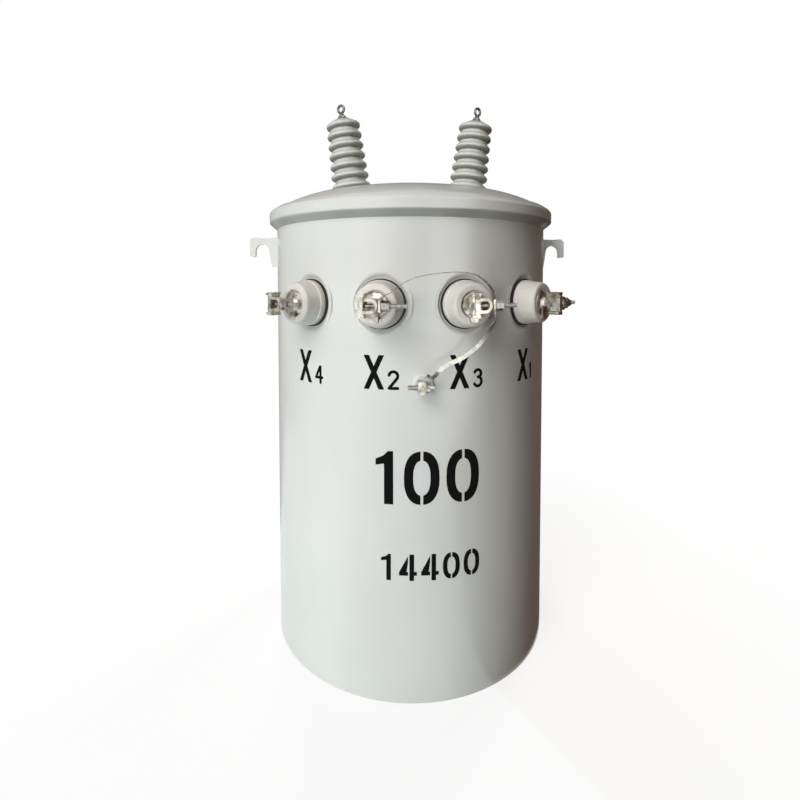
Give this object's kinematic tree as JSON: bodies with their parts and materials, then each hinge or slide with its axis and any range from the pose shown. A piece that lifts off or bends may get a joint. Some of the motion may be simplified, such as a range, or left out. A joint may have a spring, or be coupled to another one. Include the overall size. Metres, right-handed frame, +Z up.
{
  "type": "pole mounted transformer",
  "caption": "Round steel distribution transformer for a pole, with leaning ribbed bushings on a banded cover, low-voltage clamp terminals on the front and hanger brackets behind.",
  "frame": {"origin": "on the tank axis at the bottom edge of the tank skirt, which is what the transformer stands on", "axes": "+Z up along the tank axis; -Y is the front with the low-voltage bushings; +Y is the pole side with the hanger brackets; +X is to the right seen from the front"},
  "size_m": [0.732, 0.7396, 1.1659],
  "materials": {
    "tank_enamel": "gloss",
    "hv_porcelain": "gloss",
    "lv_body": "satin",
    "seal_rubber": "matte",
    "tinned_bronze": "satin",
    "plated_steel": "satin",
    "sealed_inside": "matte"
  },
  "bodies": {
    "root": {"core_and_oil": "sealed_inside", "cover": "tank_enamel", "cover_band": "tank_enamel", "cover_band_bolt": "plated_steel", "cover_gasket": "seal_rubber", "ground_bolt": "plated_steel", "ground_boss": "tank_enamel", "ground_connector": "tinned_bronze", "ground_strap": "tinned_bronze", "hanger_bracket_lower": "tank_enamel", "hanger_bracket_upper": "tank_enamel", "hv_bushing_left": "hv_porcelain", "hv_bushing_right": "hv_porcelain", "hv_gasket_left": "seal_rubber", "hv_gasket_right": "seal_rubber", "hv_terminal_left": "tinned_bronze", "hv_terminal_right": "tinned_bronze", "lifting_lug_left": "tank_enamel", "lifting_lug_right": "tank_enamel", "lv_bushing_x1": "lv_body", "lv_bushing_x2": "lv_body", "lv_bushing_x3": "lv_body", "lv_bushing_x4": "lv_body", "lv_clamp_bolt_x1": "plated_steel", "lv_clamp_bolt_x2": "plated_steel", "lv_clamp_bolt_x3": "plated_steel", "lv_clamp_bolt_x4": "plated_steel", "lv_clamp_x1": "tinned_bronze", "lv_clamp_x2": "tinned_bronze", "lv_clamp_x3": "tinned_bronze", "lv_clamp_x4": "tinned_bronze", "lv_gasket_x1": "seal_rubber", "lv_gasket_x2": "seal_rubber", "lv_gasket_x3": "seal_rubber", "lv_gasket_x4": "seal_rubber", "lv_terminal_x1": "tinned_bronze", "lv_terminal_x2": "tinned_bronze", "lv_terminal_x3": "tinned_bronze", "lv_terminal_x4": "tinned_bronze", "neutral_link": "tinned_bronze", "tank_bottom": "tank_enamel", "tank_shell": "tank_enamel"}
  },
  "joints": []
}
